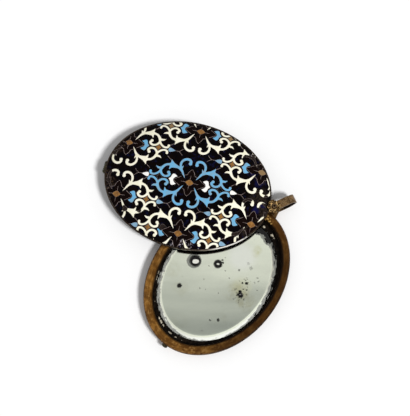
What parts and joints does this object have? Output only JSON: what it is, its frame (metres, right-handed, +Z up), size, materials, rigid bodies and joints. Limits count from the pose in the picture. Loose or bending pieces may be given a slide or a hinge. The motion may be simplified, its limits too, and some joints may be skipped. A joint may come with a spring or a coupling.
{
  "type": "compact mirror",
  "caption": "Oval pocket mirror: a bevelled mirror in a brass bezel under a domed, enamelled cover that swings aside on a swivel rivet, with a strap bail to hang it by.",
  "frame": {"origin": "centre of the lower leaf, on its flat enamelled back, which rests on the table", "axes": "+X along the lower leaf's long axis towards the swivel rivet, +Z up out of the mirror"},
  "size_m": [0.0745, 0.0816, 0.0103],
  "materials": {
    "bezel_bronze": "aged, rubbed bright on the crest",
    "fitting_brass": "aged, dull",
    "shell_copper": "dark oxidised sheet",
    "enamel": "glossy, cream and sky-blue scrolls on a dark ground",
    "mirror_glass": "clear, faintly green, bevelled",
    "mirror_silver": "foxed",
    "backing_card": "grey card",
    "cement": "dark, crumbling"
  },
  "bodies": {
    "base": {"mirror_frame": "bezel_bronze", "back_plate": "shell_copper", "back_enamel": "enamel", "mirror_backing": "backing_card", "mirror_silvering": "mirror_silver", "mirror_glass": "mirror_glass", "bedding_cement": "cement", "frame_lug": "fitting_brass", "frame_thumb_nib": "fitting_brass", "pivot_rivet": "fitting_brass", "rosette": "fitting_brass", "lower_washer": "fitting_brass", "friction_washer": "fitting_brass", "upper_washer": "fitting_brass"},
    "cover": {"cover_enamel": "enamel", "cover_shell": "shell_copper", "cover_rim": "bezel_bronze", "cover_lining": "shell_copper", "cover_lug": "fitting_brass", "cover_thumb_tab": "fitting_brass"},
    "bail": {"bail": "fitting_brass"}
  },
  "joints": [
    {"name": "cover_swivel", "type": "hinge", "parent": "base", "child": "cover", "pos_m": [0.032, 0, 0.0052], "axis": [0, 0, 1], "range_deg": [-29.6, 65.4]},
    {"name": "bail_swivel", "type": "hinge", "parent": "base", "child": "bail", "pos_m": [0.032, 0, 0.0038], "axis": [0, 0, 1], "range_deg": [-70, 25]}
  ]
}
